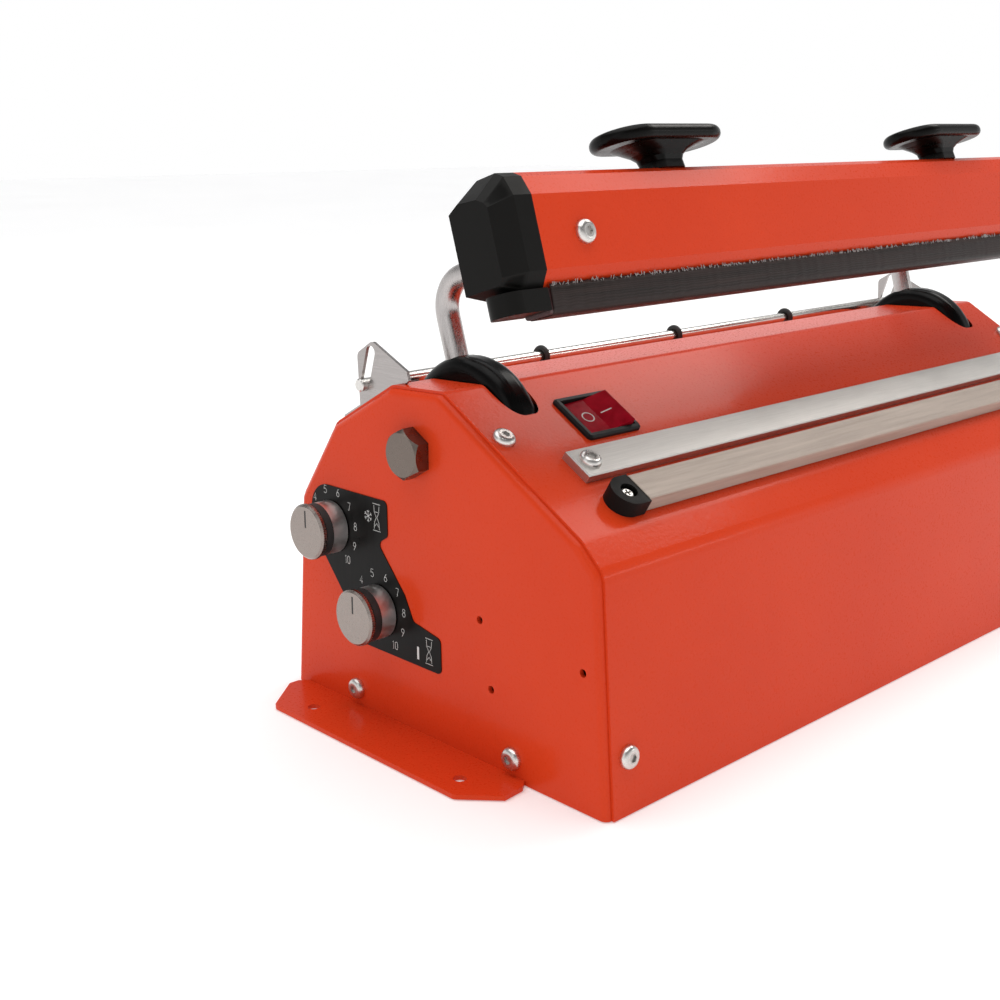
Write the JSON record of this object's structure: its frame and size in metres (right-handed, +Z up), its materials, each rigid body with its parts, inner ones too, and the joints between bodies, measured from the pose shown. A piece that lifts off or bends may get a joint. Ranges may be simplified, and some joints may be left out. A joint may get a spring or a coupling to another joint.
{
  "type": "impulse heat sealer",
  "caption": "Table-top impulse sealer for plastic film: a sprung lever swings a rubber jaw down on a heated bar, with timer knobs, power switch and film roller.",
  "frame": {"origin": "on the table plane, midway between the four foot screw holes", "axes": "+X to the machine's right along the jaw, -Y to its front where the operator stands, +Z up"},
  "size_m": [0.476, 0.1979, 0.2507],
  "materials": {
    "red_paint": "glossy orange-red powder coat",
    "zinc_sheet": "zinc plated sheet",
    "zinc_screw": "bright zinc plating",
    "steel": "satin steel",
    "stainless": "satin stainless steel",
    "spring_steel": "oiled spring wire",
    "aluminium": "satin aluminium",
    "turned_aluminium": "turned aluminium",
    "nichrome": "flat resistance band",
    "ptfe_cloth": "non-stick coated glass cloth",
    "black_plastic": "moulded black plastic",
    "gloss_black": "polished black plastic",
    "handle_black": "soft matte black plastic",
    "rocker_red": "translucent red plastic",
    "dial_black": "printed black dial plate",
    "silicone": "silicone strip",
    "ring_rubber": "black rubber",
    "core_iron": "laminated iron",
    "coil_tape": "taped winding",
    "board_green": "circuit board",
    "white_nylon": "moulded nylon"
  },
  "bodies": {
    "housing": {"left_side_plate": "red_paint", "right_side_plate": "red_paint", "top_cover": "red_paint", "left_foot_flange": "red_paint", "right_foot_flange": "red_paint", "rear_panel": "red_paint", "base_plate": "zinc_sheet", "cover_screws": "zinc_screw", "side_screws": "zinc_screw", "pivot_shaft": "steel", "pivot_bolts": "zinc_screw", "lever_springs": "spring_steel", "seal_bar": "aluminium", "heating_band": "nichrome", "release_cover": "ptfe_cloth", "seal_end_blocks": "black_plastic", "seal_screws": "zinc_screw", "guide_rail": "aluminium", "rail_screws": "zinc_screw", "switch_housing": "black_plastic", "dial_label": "dial_black", "potentiometers": "steel", "roller_brackets": "stainless", "bracket_screws": "zinc_screw", "transformer_core": "core_iron", "transformer_coil": "coil_tape", "timer_board": "board_green", "terminal_block": "white_nylon", "limit_switch": "black_plastic", "power_inlet": "black_plastic"},
    "lever": {"arm_hubs": "gloss_black", "arm_rods": "steel", "jaw_profile": "red_paint", "jaw_end_caps": "black_plastic", "pressure_bar": "aluminium", "jaw_rubber": "silicone", "jaw_end_blocks": "black_plastic", "jaw_screws": "zinc_screw", "handles": "handle_black", "handle_screws": "zinc_screw"},
    "rocker": {"rocker_button": "rocker_red"},
    "sealing_knob": {"sealing_knob_cap": "turned_aluminium", "sealing_knob_ring": "ring_rubber", "sealing_knob_collar": "turned_aluminium", "sealing_knob_spindle": "steel"},
    "cooling_knob": {"cooling_knob_cap": "turned_aluminium", "cooling_knob_ring": "ring_rubber", "cooling_knob_collar": "turned_aluminium", "cooling_knob_spindle": "steel"},
    "roller": {"roller_rod": "stainless", "roller_rings": "ring_rubber"}
  },
  "joints": [
    {"name": "lever_swing", "type": "hinge", "parent": "housing", "child": "lever", "pos_m": [0, -0.0029, 0.1231], "axis": [1, 0, 0], "range_deg": [0, 48], "stiffness_Nm_per_rad": 0.6, "springref_deg": -91.67},
    {"name": "rocker_tilt", "type": "hinge", "parent": "housing", "child": "rocker", "pos_m": [-0.1455, -0.0429, 0.13487], "axis": [0, 0.861, 0.5086], "range_deg": [0, 20]},
    {"name": "sealing_knob_turn", "type": "hinge", "parent": "housing", "child": "sealing_knob", "pos_m": [-0.21, 0.0208, 0.05], "axis": [1, 0, 0], "range_deg": [-135, 135]},
    {"name": "cooling_knob_turn", "type": "hinge", "parent": "housing", "child": "cooling_knob", "pos_m": [-0.21, 0.0522, 0.081], "axis": [1, 0, 0], "range_deg": [-135, 135]},
    {"name": "roller_spin", "type": "hinge", "parent": "housing", "child": "roller", "pos_m": [0, 0.0355, 0.145], "axis": [1, 0, 0], "continuous": true}
  ]
}
